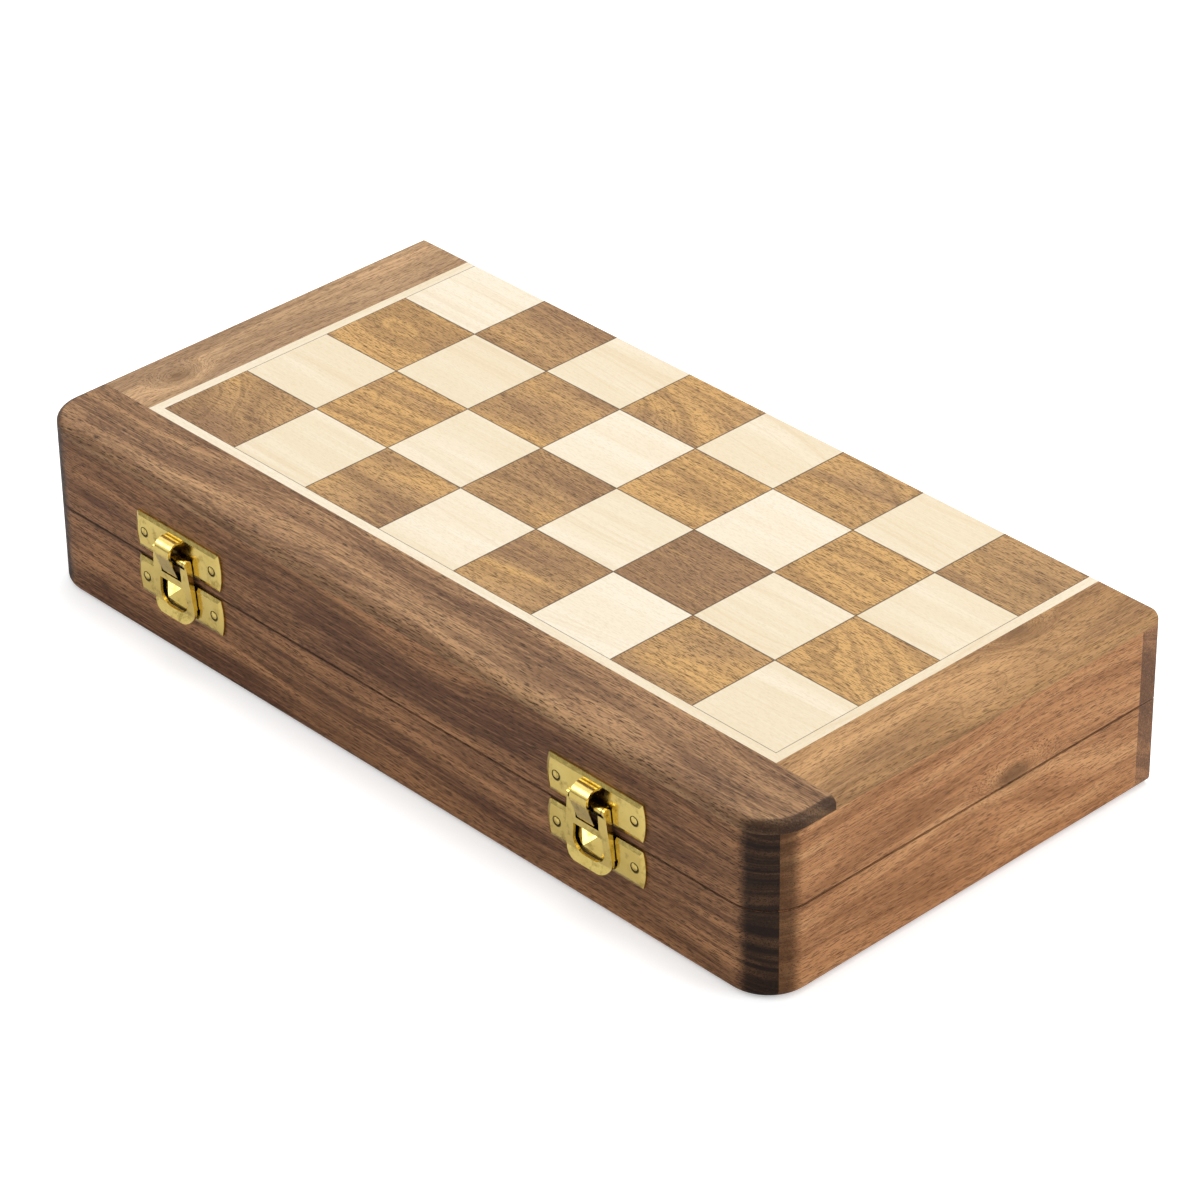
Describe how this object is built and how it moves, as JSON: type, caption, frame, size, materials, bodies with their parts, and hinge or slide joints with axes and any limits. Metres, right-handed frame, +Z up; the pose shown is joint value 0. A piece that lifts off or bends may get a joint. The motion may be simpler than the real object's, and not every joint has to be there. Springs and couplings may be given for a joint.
{
  "type": "folding chess box",
  "caption": "Folding chess box: two shallow wooden halves hinged at the back, inlaid chessboard on lid and underside, felt-lined trays, brass spring latches at the front.",
  "frame": {"origin": "middle of the underside of the shut box's woodwork, on the board face of the base", "axes": "+X along the length of the box, +Y from the latches towards the hinges, +Z up through the lid"},
  "size_m": [0.3048, 0.16, 0.0571],
  "materials": {
    "sheesham": "satin varnish",
    "sheesham_light": "satin varnish",
    "maple": "satin varnish",
    "plywood": "sanded",
    "felt": "matte",
    "brass": "polished"
  },
  "bodies": {
    "base": {"base_front_rail": "sheesham", "base_back_rail": "sheesham", "base_left_rail": "sheesham_light", "base_right_rail": "sheesham_light", "base_panel": "plywood", "base_front_border": "sheesham", "base_left_border": "sheesham_light", "base_right_border": "sheesham_light", "base_front_stringing": "maple", "base_left_stringing": "maple", "base_right_stringing": "maple", "base_dark_squares": "sheesham", "base_light_squares": "maple", "base_felt": "felt", "hinge_left_base_leaf": "brass", "hinge_left_pin": "brass", "hinge_right_base_leaf": "brass", "hinge_right_pin": "brass", "hinge_screws_base": "brass", "latch_left_stud_plate": "brass", "latch_left_stud": "brass", "latch_right_stud_plate": "brass", "latch_right_stud": "brass", "latch_nails_base": "brass"},
    "lid": {"lid_front_rail": "sheesham", "lid_back_rail": "sheesham", "lid_left_rail": "sheesham_light", "lid_right_rail": "sheesham_light", "lid_panel": "plywood", "lid_front_border": "sheesham", "lid_left_border": "sheesham_light", "lid_right_border": "sheesham_light", "lid_front_stringing": "maple", "lid_left_stringing": "maple", "lid_right_stringing": "maple", "lid_dark_squares": "sheesham", "lid_light_squares": "maple", "lid_felt": "felt", "hinge_left_lid_leaf": "brass", "hinge_right_lid_leaf": "brass", "hinge_screws_lid": "brass", "latch_left_hasp_plate": "brass", "latch_right_hasp_plate": "brass", "latch_nails_lid": "brass"},
    "hasp_left": {"latch_left_hasp": "brass", "latch_left_hasp_pin": "brass"},
    "hasp_right": {"latch_right_hasp": "brass", "latch_right_hasp_pin": "brass"}
  },
  "joints": [
    {"name": "lid_hinge", "type": "hinge", "parent": "base", "child": "lid", "pos_m": [0, 0.07635, 0.02857], "axis": [-1, 0, 0], "range_deg": [0, 180]},
    {"name": "hasp_left_pivot", "type": "hinge", "parent": "lid", "child": "hasp_left", "pos_m": [-0.0885, -0.07895, 0.03628], "axis": [-1, 0, 0], "range_deg": [0, 150]},
    {"name": "hasp_right_pivot", "type": "hinge", "parent": "lid", "child": "hasp_right", "pos_m": [0.0867, -0.07895, 0.03628], "axis": [-1, 0, 0], "range_deg": [0, 150]}
  ]
}
